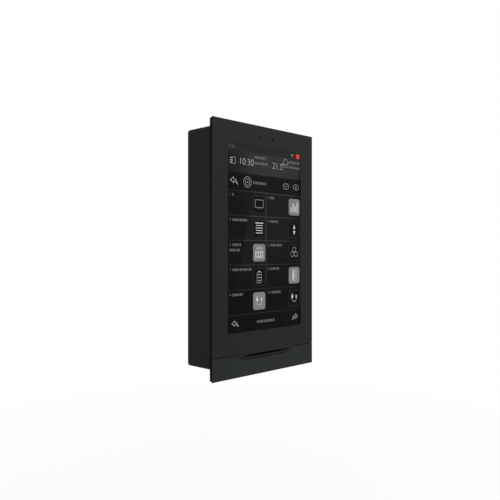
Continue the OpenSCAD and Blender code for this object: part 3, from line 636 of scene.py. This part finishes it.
# Arrows: 1 to point left or -1 to point right, the share of the full size, and the place
ARROWS = ((1, 1.0, (-36.9, 45.7)), (1, 0.88, (-35.7, -69.7)), (-1, 0.88, (38.6, -69.6)))
# The alert square
ALERT_AT = (42.3, 73.9)
ALERT_SIZE = (5.0, 4.1)
ALERT_CORNER = 0.2
# Widths of a sign's lines
HAIR = 0.2
FINE = 0.3
THIN = 0.42
BOLD = 0.75


def picture_heights(sizes):
    """Heights of the picture's dividing lines above its middle, in millimetres, from the top down."""
    status = PICTURE_H / 2 - sizes.status_height / MM
    info = status - sizes.info_height / MM
    header = info - sizes.header_height / MM
    rows = [header - row * sizes.row_height / MM for row in range(TILE_ROWS + 1)]
    return status, info, header, rows


def tiles(sizes):
    """Every tile's row and column, and the heights of its upper and lower edge."""
    rows = picture_heights(sizes)[3]
    for row, (high, low) in enumerate(zip(rows, rows[1:])):
        for column in range(TILE_COLUMNS):
            yield row, column, high, low


# Signs: each is drawn round its own middle and then moved to its place
def sign_screen():
    """A television: a thin rim on two short feet."""
    rim = open_middle(flat_sheet((9.8, 6.6), (0, 0.7), corner=0.6), HAIR)
    feet = [flat_strip((side * 1.2, -2.8), (side * 2.0, -3.8), HAIR) for side in (-1, 1)]
    return [rim] + feet


def sign_levels():
    """Sound: four level bars on one foot line."""
    pitch = 2.7
    foot = -4.5
    return [flat_sheet((1.2, tall), (pitch * (bar - 1.5), foot + tall / 2), corner=0.4)
            for bar, tall in enumerate((4.2, 7.8, 5.6, 9.0))]


def sign_shutter():
    """A roll-up door: a lintel over slats."""
    pitch = 2.1
    slats = [flat_sheet((8.4, 0.6), (0, 2.6 - pitch * slat), corner=0.2) for slat in range(4)]
    lintel = flat_sheet((9.8, 0.8), (0, 4.7), corner=0.3)
    return slats + [lintel]


def sign_lift():
    """A lift: one arrowhead up and one down."""
    head = ((-1.5, 0.9), (1.5, 0.9), (0, 4.6))
    return [flat_outline([(way * x, way * height) for x, height in head]) for way in (1, -1)]


def sign_radiator():
    """A radiator: ribs with links between them, under three rising strokes."""
    pitch = 2.8
    rib = 0.9
    ribs = [flat_sheet((rib, 6.4), (pitch * (i - 1.5), -1.6), corner=0.4) for i in range(4)]
    links = [flat_sheet((pitch - rib, 0.6), (pitch * i, height))
             for i in (-1, 0, 1) for height in (0.4, -3.6)]
    warmth = [flat_strip((x, 3.0), (x, 4.8), BOLD) for x in (-2.4, 0, 2.4)]
    return ribs + links + warmth


def sign_fan():
    """A fan: three open blades round a hub."""
    reach = 2.6
    shapes = [flat_disc(0.5, (0, 0))]
    for blade in range(3):
        angle = math.radians(90 + 120 * blade)
        at = (reach * math.cos(angle), reach * math.sin(angle))
        shapes.append(open_middle(flat_disc(2.45, at, squeeze=0.92, turn=angle), HAIR))
    return shapes


def sign_battery():
    """A store of energy: a battery with a cap and three charge bars."""
    pitch = 2.5
    case = open_middle(flat_sheet((5.6, 9.2), (0, -0.6), corner=0.9), HAIR)
    cap = flat_sheet((2.2, 0.6), (0, 4.6), corner=0.2)
    bars = [flat_sheet((2.8, 0.5), (0, -3.1 + pitch * bar), corner=0.2) for bar in range(3)]
    return [case, cap] + bars


def sign_door():
    """A door in its frame, with a knob."""
    door_frame = open_middle(flat_sheet((5.6, 9.6), (0, 0), corner=0.9), THIN)
    leaf = flat_sheet((1.9, 7.6), (-0.9, 0), corner=0.3)
    knob = flat_disc(0.5, (1.3, 0))
    return [door_frame, leaf, knob]


def sign_plug():
    """A charger: a plug with two pins, a lead that hangs in a bow, and a socket at its other end."""
    plug_x = -2.6
    socket_x = 2.8
    bow_top = -0.6
    body = flat_sheet((2.3, 2.6), (plug_x, 1.3), corner=0.7)
    pins = [flat_sheet((FINE, 1.6), (plug_x + side * 0.6, 3.3), corner=0.14) for side in (-1, 1)]
    socket = flat_sheet((1.5, 2.6), (socket_x, 1.3), corner=0.6)
    ends = [flat_sheet((FINE, -bow_top), (x, bow_top / 2)) for x in (plug_x, socket_x)]
    lead = flat_arc((socket_x - plug_x) / 2, FINE, ((plug_x + socket_x) / 2, bow_top), 180, 360)
    return [body, lead, socket] + pins + ends


# The sign on each key, by row and column
KEY_SIGNS = ((sign_screen, sign_levels), (sign_shutter, sign_lift), (sign_radiator, sign_fan),
             (sign_battery, sign_door), (sign_plug, sign_plug))


def sign_arrow(way, size, at):
    """An outlined arrow with a bent tail, at a share of its full size; way is 1 for left, -1 for right."""
    points = [(-4.4, 0.9), (-0.4, 3.6), (-0.4, 2.1), (2.4, 1.3), (4.4, -2.8), (1.6, -0.4), (-0.4, -0.1),
              (-0.4, -1.8)]
    outline = flat_outline([(way * size * x, size * height) for x, height in points])
    return shifted([open_middle(outline, size * FINE)], at)


def sign_menu(at):
    """A list: three short bars beside an open frame."""
    bars = [flat_sheet((1.4, 0.8), (-2.2, height), corner=0.2) for height in (-2.0, 0, 2.0)]
    page = open_middle(flat_sheet((3.6, 5.4), (1.0, 0), corner=0.9), HAIR)
    return shifted(bars + [page], at)


def sign_cloud(at):
    """The weather: a cloud drawn with three arcs over a straight foot, and three drops of rain."""
    arcs = [flat_arc(1.3, HAIR, (-1.9, -0.7), 90, 270), flat_arc(2.0, HAIR, (-0.2, 0.6), 15, 165),
            flat_arc(1.3, HAIR, (2.0, -0.7), -90, 80)]
    drops = [flat_strip((x, -3.2), (x - 0.5, -4.8), HAIR) for x in (-1.6, 0.3, 2.2)]
    foot = flat_sheet((3.9, HAIR), (0.05, -2.0))
    return shifted(arcs + drops + [foot], at)


def sign_waves(at):
    """Radio reception: a dot under two arcs."""
    arcs = [flat_arc(reach, FINE, (0, 0), 45, 135) for reach in (1.2, 2.2)]
    return shifted([flat_disc(0.3, (0, 0))] + arcs, at)


def sign_rings(at):
    """A home sign: two rings round a dot."""
    rings = [open_middle(flat_disc(radius, (0, 0)), HAIR) for radius in (4.5, 2.7)]
    return shifted(rings + [flat_disc(0.5, (0, 0))], at)


def sign_oval(mark, at):
    """An oval touch area with a small mark in it."""
    return shifted([open_middle(flat_disc(3.8, (0, 0), squeeze=0.66), HAIR), mark], at)


def sign_alert(at):
    """A warning: a short stroke over a dot."""
    return shifted([flat_strip((0, -0.3), (0, 1.2), FINE), flat_disc(0.25, (0, -1.2))], at)


class TOUCHPANEL_OT_plate(bpy.types.Operator):
    """Finish the front plate and the lower cover"""
    bl_idname = "touchpanel.plate"
    bl_label = "Front Plate"

    def execute(self, context):
        finishes = context.scene.panel_finishes
        # Both finishes paint shade deep in recesses with the near-black edge colour
        dress("front_bezel", lacquered_plate("ABS, matt anthracite lacquer", finishes.plate, finishes.edge))
        dress("lower_cover", lacquered_plate("ABS, matt graphite lacquer", finishes.cover, finishes.edge))
        return {"FINISHED"}


class TOUCHPANEL_OT_box(bpy.types.Operator):
    """Finish the in-wall box and the closed unit's inner mouldings"""
    bl_idname = "touchpanel.box"
    bl_label = "In-wall Box"

    def execute(self, context):
        finishes = context.scene.panel_finishes
        grained = moulded_plastic("Polyamide, black, eroded grain", finishes.box,
                                  grain_mm=0.6, roughness=0.66, specular=0.08)
        dress("wall_box", grained)
        inner = moulded_plastic("PC-ABS, black, fine grain", finishes.inner, specular=0.3)
        for node in ("mid_frame", "rear_cover"):
            dress(node, inner)
        return {"FINISHED"}


class TOUCHPANEL_OT_display(bpy.types.Operator):
    """Finish the glass, the display and what holds them"""
    bl_idname = "touchpanel.display"
    bl_label = "Display Stack"

    def execute(self, context):
        film = moulded_plastic("Polariser film, black", linear("#050506"),
                               grain_mm=0.2, roughness=0.25, specular=0.1)
        steel = bare_metal("Steel, rolled and pressed", linear("#a4a8ab"), roughness=0.35, brush_mm=0.15)
        ribbon = moulded_plastic("Polyimide film, amber", linear("#b5702a"),
                                 grain_mm=0.6, roughness=0.3, specular=0.5)
        foam = moulded_plastic("Polyurethane foam, black", linear("#141414"),
                               grain_mm=0.5, roughness=0.9, specular=0.1)
        dress("touch_glass", coated_glass("Cover glass, anti-reflective"))
        dress("lcd_panel", film)
        dress("backlight_tray", steel)
        dress("display_ribbon", ribbon)
        for node in ("display_gasket", "speaker_gasket", "microphone_boot"):
            dress(node, foam)
        return {"FINISHED"}


class TOUCHPANEL_OT_inner_parts(bpy.types.Operator):
    """Finish the boards, the parts on them, the sound parts and the sensors"""
    bl_idname = "touchpanel.inner_parts"
    bl_label = "Inner Parts"

    def execute(self, context):
        board = solder_mask("Glass-fibre board, green mask", linear("#1f5a3a"))
        epoxy = moulded_plastic("Epoxy, moulded black", linear("#202122"), grain_mm=0.3, roughness=0.55)
        nylon = moulded_plastic("Nylon, natural", linear("#d8d2c2"), specular=0.5)
        can = bare_metal("Tinned steel, drawn", linear("#b9bcbf"), roughness=0.3, brush_mm=0.2)
        brass = bare_metal("Brass, plated", linear("#b9a877"), roughness=0.3, brush_mm=0.1)
        black = moulded_plastic("PBT, black", linear("#2a2b2c"))
        red = moulded_plastic("PBT, red", linear("#7c1e1c"))
        green = moulded_plastic("PBT, green", linear("#2f5d3d"))
        cone = moulded_plastic("Polyester film, formed", linear("#3d3e40"), grain_mm=0.8, roughness=0.35)
        cloth = woven_cloth("Polyester cloth, black", linear("#070807"), thread_mm=0.5)
        acrylic = moulded_plastic("Acrylic, tinted", linear("#050506"),
                                  grain_mm=0.6, roughness=0.2, specular=0.05)
        finished = (
            (board, ("main_board", "sensor_board")),
            (epoxy, ("processor", "memory_chips", "light_sensor")),
            (nylon, ("ribbon_connector", "coin_cell_holder")),
            (can, ("shield_can", "capacitors", "coin_cell")),
            (brass, ("microphone",)),
            (black, ("reset_switch", "programming_switch", "speaker_frame")),
            (red, ("bus_terminal",)),
            (green, ("power_terminal",)),
            (cone, ("speaker_cone",)),
            (cloth, ("slot_mesh",)),
            (acrylic, ("light_pipe",)),
        )
        for material, nodes in finished:
            for node in nodes:
                dress(node, material)
        return {"FINISHED"}


class TOUCHPANEL_OT_service_parts(bpy.types.Operator):
    """Finish the screws and the two service buttons"""
    bl_idname = "touchpanel.service_parts"
    bl_label = "Screws and Service Buttons"

    def execute(self, context):
        zinc = bare_metal("Steel, zinc plated", linear("#b0b3b2"), roughness=0.32, brush_mm=0.1)
        for node in ("frame_screws", "case_screws", "fixing_screws"):
            dress(node, zinc)
        dress("reset_button", moulded_plastic("POM, grey", linear("#b8bcbd"), roughness=0.45))
        dress("programming_button", moulded_plastic("POM, red", linear("#a33126"), roughness=0.45))
        return {"FINISHED"}


class TOUCHPANEL_OT_bands(bpy.types.Operator):
    """Draw the picture's ground and its bands"""
    bl_idname = "touchpanel.bands"
    bl_label = "Picture Bands"

    def execute(self, context):
        sizes = context.scene.picture_settings
        spare = sizes.overlap / MM
        width = PICTURE_W + 2 * spare
        status, info, header, rows = picture_heights(sizes)
        top = PICTURE_H / 2 + spare
        # The ground, the info band and the header band carry the painted sheen, a painted reflection in the
        # display's light
        ground = backlit_painted_sheen("Display, tile ground", sizes.ground, sizes.ground_painted_sheen, foot_share=0.0)
        print_on_display([flat_sheet((width, 2 * top), (0, 0))], "picture_ground", GROUND_LAYER, ground)
        bands = (
            ("status_band", top, status, backlit("Display, status grey", sizes.status)),
            ("info_band", status, info,
             backlit_painted_sheen("Display, info grey", sizes.info, sizes.info_painted_sheen, foot_share=1.0)),
            ("header_band", info, header,
             backlit_painted_sheen("Display, header black", sizes.header, sizes.header_painted_sheen, foot_share=1.0)),
            ("footer_band", rows[-1], -top, backlit("Display, footer black", sizes.footer)),
        )
        for name, high, low, finish in bands:
            band = flat_sheet((width, high - low), (0, (high + low) / 2))
            print_on_display([band], name, BAND_LAYER, finish)
        return {"FINISHED"}


class TOUCHPANEL_OT_grid(bpy.types.Operator):
    """Draw the lines between the tiles and down their outer sides"""
    bl_idname = "touchpanel.grid"
    bl_label = "Picture Grid"

    def execute(self, context):
        sizes = context.scene.picture_settings
        line = sizes.line_width / MM
        rows = picture_heights(sizes)[3]
        half = PICTURE_W / 2 + sizes.overlap / MM
        shapes = [flat_sheet((2 * half, line), (0, height)) for height in rows]
        divider = (DIVIDER_X - line / 2, DIVIDER_X + line / 2)
        strips = ((-half, TILE_EDGE_X[0]), divider, (TILE_EDGE_X[1], half))
        for high, low in zip(rows, rows[1:]):
            for left, right in strips:
                middle = ((left + right) / 2, (high + low) / 2)
                shapes.append(flat_sheet((right - left, high - low - line), middle))
        # The lines carry the same painted sheen, a painted reflection
        finish = backlit_painted_sheen("Display, line grey", sizes.line, sizes.line_painted_sheen, foot_share=0.2)
        print_on_display(shapes, "tile_lines", TILE_LAYER, finish)
        return {"FINISHED"}


class TOUCHPANEL_OT_keys(bpy.types.Operator):
    """Draw the keys, on and off, and the sign on each"""
    bl_idname = "touchpanel.keys"
    bl_label = "Picture Keys"

    def execute(self, context):
        sizes = context.scene.picture_settings
        size = sizes.key_size / MM
        corner = sizes.key_corner / MM
        lit, faces, rims, lit_signs, unlit_signs = [], [], [], [], []
        for row, column, high, low in tiles(sizes):
            at = (KEY_X[column], (high + low) / 2)
            signs = shifted(KEY_SIGNS[row][column](), at)
            if (row, column) in LIT_KEYS:
                lit.append(flat_sheet((size, size), at, corner))
                lit_signs.extend(signs)
            else:
                faces.append(flat_sheet((size, size), at, corner))
                rims.append(open_middle(flat_sheet((size, size), at, corner), sizes.rim_width / MM))
                unlit_signs.extend(signs)
        drawn = (
            (lit, "lit_keys", KEY_LAYER, backlit("Display, lit key grey", sizes.key_on)),
            (faces, "unlit_key_faces", TILE_LAYER, backlit("Display, key black", sizes.key_off)),
            (rims, "unlit_key_rims", KEY_LAYER, backlit("Display, rim grey", sizes.rim)),
            (lit_signs, "lit_key_signs", SIGN_LAYER, backlit("Display, lit sign white", sizes.lit_sign)),
            (unlit_signs, "unlit_key_signs", SIGN_LAYER, backlit("Display, sign white", sizes.sign)),
        )
        for shapes, name, layer, finish in drawn:
            print_on_display(shapes, name, layer, finish)
        return {"FINISHED"}


class TOUCHPANEL_OT_labels(bpy.types.Operator):
    """Draw each tile's number and the rows of blocks that label the tiles and the bands"""
    bl_idname = "touchpanel.labels"
    bl_label = "Picture Labels"

    def execute(self, context):
        sizes = context.scene.picture_settings
        shapes = []
        for row, column, high, _ in tiles(sizes):
            left = LABEL_X[column]
            height = high - LABEL_DROP
            number = str(TILE_COLUMNS * row + column + 1)
            shapes.append(flat_digits(number, LABEL_TALL, (left, height)))
            start = left + LABEL_TALL * (NUMBER_GAP + NUMBER_STEP * len(number))
            shapes.extend(flat_label(start, left + LABEL_LENGTHS[row][column], height, LABEL_TALL))
            second = SECOND_LINES.get((row, column), 0)
            shapes.extend(flat_label(left, left + second, height - LINE_DROP, LABEL_TALL))
        for label in BAND_LABELS:
            shapes.extend(flat_label(*label))
        print_on_display(shapes, "picture_labels", SIGN_LAYER, backlit("Display, label grey", sizes.label))
        faint = backlit("Display, faint label grey", sizes.faint_label)
        print_on_display(flat_label(*STATUS_LABEL), "status_label", SIGN_LAYER, faint)
        return {"FINISHED"}


class TOUCHPANEL_OT_digits(bpy.types.Operator):
    """Draw the clock's and the thermometer's digits"""
    bl_idname = "touchpanel.digits"
    bl_label = "Picture Digits"

    def execute(self, context):
        sizes = context.scene.picture_settings
        clock = flat_digits("10:30", DIGIT_TALL, CLOCK_AT, DIGIT_SLIM)
        thermometer = flat_digits("21.5", DIGIT_TALL, THERMOMETER_AT, DIGIT_SLIM)
        degree = open_middle(flat_disc(DEGREE_RADIUS, DEGREE_AT), FINE)
        finish = backlit("Display, digit white", sizes.sign)
        print_on_display([clock, thermometer, degree], "picture_digits", SIGN_LAYER, finish)
        return {"FINISHED"}


class TOUCHPANEL_OT_signs(bpy.types.Operator):
    """Draw the arrows, rings, alert square and small signs in the picture's bands"""
    bl_idname = "touchpanel.signs"
    bl_label = "Picture Signs"

    def execute(self, context):
        sizes = context.scene.picture_settings
        minus = flat_strip((-0.9, 0), (0.9, 0), FINE)
        upward = flat_outline([(-0.8, -0.6), (0.8, -0.6), (0, 0.8)])
        shapes = (sign_menu(MENU_AT) + sign_cloud(CLOUD_AT) + sign_waves(WAVES_AT) + sign_rings(RINGS_AT)
                  + sign_oval(minus, MINUS_AT) + sign_oval(upward, UPWARD_AT))
        for way, size, at in ARROWS:
            shapes += sign_arrow(way, size, at)
        print_on_display(shapes, "band_signs", SIGN_LAYER, backlit("Display, band sign white", sizes.sign))
        alert = [flat_sheet(ALERT_SIZE, ALERT_AT, ALERT_CORNER)]
        print_on_display(alert, "alert_square", SIGN_LAYER, backlit("Display, alert red", sizes.alert))
        mark = backlit("Display, alert mark white", sizes.sign)
        print_on_display(sign_alert(ALERT_AT), "alert_mark", MARK_LAYER, mark)
        return {"FINISHED"}


# Lamps: name, place in metres, side of the square light in metres, and power in watts
LAMPS = (("Key softbox", (0.85, -0.9, 0.8), 0.9, 6.2),
         ("Fill softbox", (-1.2, -0.5, 0.0), 0.9, 1.8),
         ("Rear softbox", (-0.4, 1.2, 0.2), 0.9, 2.9))
# Camera: width of the sensor in millimetres, and the nearest distance that it sees, in metres
SENSOR_WIDTH = 36
NEAR_CLIP = 0.01
# Floor: radius in metres and sides of its disc
FLOOR_RADIUS = 2.5
FLOOR_SIDES = 96
# Share of plain white in the paper near the object, and the distances in metres where it rises and is whole
NEAR_WHITE = 0.7
WHITE_START = 0.3
WHITE_FULL = 0.9


def seen_directly(tree):
    """One for what the camera sees, also mirrored or through glass, and zero for light on surfaces."""
    path = add_node(tree, "ShaderNodeLightPath")
    seen = add_node(tree, "ShaderNodeMath", {"operation": "MAXIMUM"},
                    {0: path.outputs["Is Camera Ray"], 1: path.outputs["Is Glossy Ray"]})
    shown = add_node(tree, "ShaderNodeMath", {"operation": "MAXIMUM"},
                     {0: seen.outputs["Value"], 1: path.outputs["Is Transmission Ray"]})
    return shown.outputs["Value"]


def studio_paper(name):
    """Matt white paper that keeps a soft shadow near the object and runs out to plain white further off."""
    material, tree, place = new_finish(name)
    reach = add_node(tree, "ShaderNodeVectorMath", {"operation": "LENGTH"}, {0: place.outputs["Object"]})
    far = add_node(tree, "ShaderNodeMapRange",
                   {"From Min": WHITE_START, "From Max": WHITE_FULL, "To Min": NEAR_WHITE, "To Max": 1.0},
                   {"Value": reach.outputs["Value"]})
    share = add_node(tree, "ShaderNodeMath", {"operation": "MULTIPLY"},
                     {0: far.outputs["Result"], 1: seen_directly(tree)})
    paper = add_node(tree, "ShaderNodeBsdfPrincipled",
                     {"Base Color": rgba(linear("#fdfdfd")), "Roughness": 0.9, "Specular IOR Level": 0.0})
    plain = add_node(tree, "ShaderNodeEmission", {"Color": WHITE, "Strength": 1.0})
    both = add_node(tree, "ShaderNodeMixShader",
                    links={0: share.outputs["Value"], 1: paper.outputs["BSDF"],
                           2: plain.outputs["Emission"]})
    add_node(tree, "ShaderNodeOutputMaterial", links={"Surface": both.outputs["Shader"]})
    return material


class TOUCHPANEL_OT_stage(bpy.types.Operator):
    """Set up the camera, the lamps, the white surroundings and the floor"""
    bl_idname = "touchpanel.stage"
    bl_label = "Stage"

    def execute(self, context):
        settings = context.scene.stage_settings
        self.add_camera(context, settings)
        self.add_world(context, settings)
        self.add_lamps()
        self.add_floor(settings)
        context.scene.view_settings.view_transform = "Standard"
        return {"FINISHED"}

    def add_camera(self, context, settings):
        """Stand the camera in front of the plate, to the left and level with its middle."""
        ahead = Vector((math.sin(settings.turn), math.cos(settings.turn), 0))
        right = Vector((math.cos(settings.turn), -math.sin(settings.turn), 0))
        place = PLATE_CENTRE - settings.distance * ahead - settings.side_step * right
        place.z -= settings.drop
        clear_selection()
        bpy.ops.object.camera_add(location=place, rotation=(math.pi / 2, 0, -settings.turn))
        camera = bpy.context.object
        camera.data.lens = settings.lens
        camera.data.sensor_width = SENSOR_WIDTH
        camera.data.clip_start = NEAR_CLIP
        context.scene.camera = camera

    def add_world(self, context, settings):
        """Make the surroundings white, and dimmer as a light."""
        world = bpy.data.worlds.new("White studio")
        context.scene.world = world
        world.use_nodes = True
        tree = world.node_tree
        tree.nodes.clear()
        strength = add_node(tree, "ShaderNodeMapRange", {"To Min": settings.world_light, "To Max": 1.0},
                            {"Value": seen_directly(tree)})
        light = add_node(tree, "ShaderNodeBackground", {"Color": WHITE},
                         {"Strength": strength.outputs["Result"]})
        add_node(tree, "ShaderNodeOutputWorld", links={"Surface": light.outputs["Background"]})

    def add_lamps(self):
        """Hang the softboxes, each turned to the plate's middle."""
        for name, place, size, power in LAMPS:
            clear_selection()
            aim = (PLATE_CENTRE - Vector(place)).to_track_quat("-Z", "Y").to_euler()
            bpy.ops.object.light_add(type="AREA", location=place, rotation=aim)
            lamp = bpy.context.object
            lamp.name = name
            lamp.data.size = size
            lamp.data.energy = power

    def add_floor(self, settings):
        """Lay the floor below the object."""
        clear_selection()
        height = COVER_FOOT - settings.floor_drop
        bpy.ops.mesh.primitive_circle_add(
            vertices=FLOOR_SIDES, radius=FLOOR_RADIUS, fill_type="NGON", location=(0, 0, height))
        floor = bpy.context.object
        floor.name = "studio_floor"
        bpy.ops.object.transform_apply(location=True)
        floor.data.materials.append(studio_paper("Paper, white"))


class TOUCHPANEL_PT_pieces(bpy.types.Panel):
    """Lists the steps that dress the touch panel"""
    bl_idname = "TOUCHPANEL_PT_pieces"
    bl_label = "Touch Panel"
    bl_space_type = "VIEW_3D"
    bl_region_type = "UI"
    bl_category = "Touch Panel"

    def draw(self, context):
        for step in STEPS:
            self.layout.operator(step.bl_idname)


STEPS = (TOUCHPANEL_OT_plate, TOUCHPANEL_OT_box, TOUCHPANEL_OT_display, TOUCHPANEL_OT_inner_parts,
         TOUCHPANEL_OT_service_parts, TOUCHPANEL_OT_bands, TOUCHPANEL_OT_grid, TOUCHPANEL_OT_keys,
         TOUCHPANEL_OT_labels, TOUCHPANEL_OT_digits, TOUCHPANEL_OT_signs, TOUCHPANEL_OT_stage)
GROUPS = {"panel_finishes": PanelFinishes,
          "picture_settings": PictureSettings,
          "stage_settings": StageSettings}


def register():
    """Registers the classes and hangs the settings on the scene."""
    for cls in (*GROUPS.values(), *STEPS, TOUCHPANEL_PT_pieces):
        bpy.utils.register_class(cls)
    for name, group in GROUPS.items():
        setattr(bpy.types.Scene, name, bpy.props.PointerProperty(type=group))


def unregister():
    """Takes the settings and the classes away again."""
    for name in GROUPS:
        delattr(bpy.types.Scene, name)
    for cls in (TOUCHPANEL_PT_pieces, *reversed(STEPS), *GROUPS.values()):
        bpy.utils.unregister_class(cls)


def main():
    """Runs every step in order."""
    register()
    for step in STEPS:
        space, name = step.bl_idname.split(".")
        getattr(getattr(bpy.ops, space), name)()


if __name__ == "__main__":
    main()
